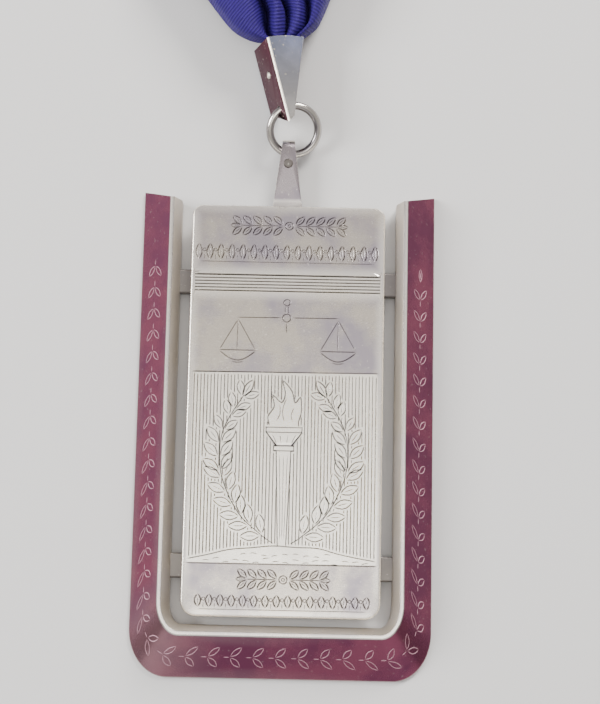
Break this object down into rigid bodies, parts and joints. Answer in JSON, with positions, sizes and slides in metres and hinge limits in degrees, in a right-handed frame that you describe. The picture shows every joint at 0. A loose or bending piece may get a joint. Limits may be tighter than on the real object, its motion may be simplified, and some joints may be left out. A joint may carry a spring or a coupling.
{
  "type": "badge of office on a neck ribbon",
  "caption": "Flat silver badge of office: a plate on cross bars inside a bevelled U-shaped surround, hung by a tongue, jump ring and wedge bail from a folded neck ribbon.",
  "frame": {"origin": "On the flat back of the surround, in the middle of its bottom bar. The badge lies on its back on the plane z = 0, and the ribbon lies on the same plane.", "axes": "+Y runs up the badge towards the ribbon, +Z out of the badge's face, +X to the right as its face is seen with the ribbon at the top."},
  "size_m": [0.241, 0.397, 0.0098],
  "materials": {
    "satin_silver": "sterling silver with a satin finish and softly worn edges",
    "brushed_silver": "sterling silver, finely brushed",
    "polished_silver": "sterling silver, polished, with fine scratches",
    "dull_silver": "tarnished silver rivet head",
    "blue_ribbed_ribbon": "deep blue ribbon with a fine cross rib and a soft sheen"
  },
  "bodies": {
    "root": {"surround": "satin_silver", "centre_plate": "brushed_silver", "hanger_tongue": "brushed_silver", "tongue_rivet": "dull_silver", "jump_ring": "polished_silver", "bail": "polished_silver", "bail_pin": "polished_silver", "neck_ribbon": "blue_ribbed_ribbon"}
  },
  "joints": []
}
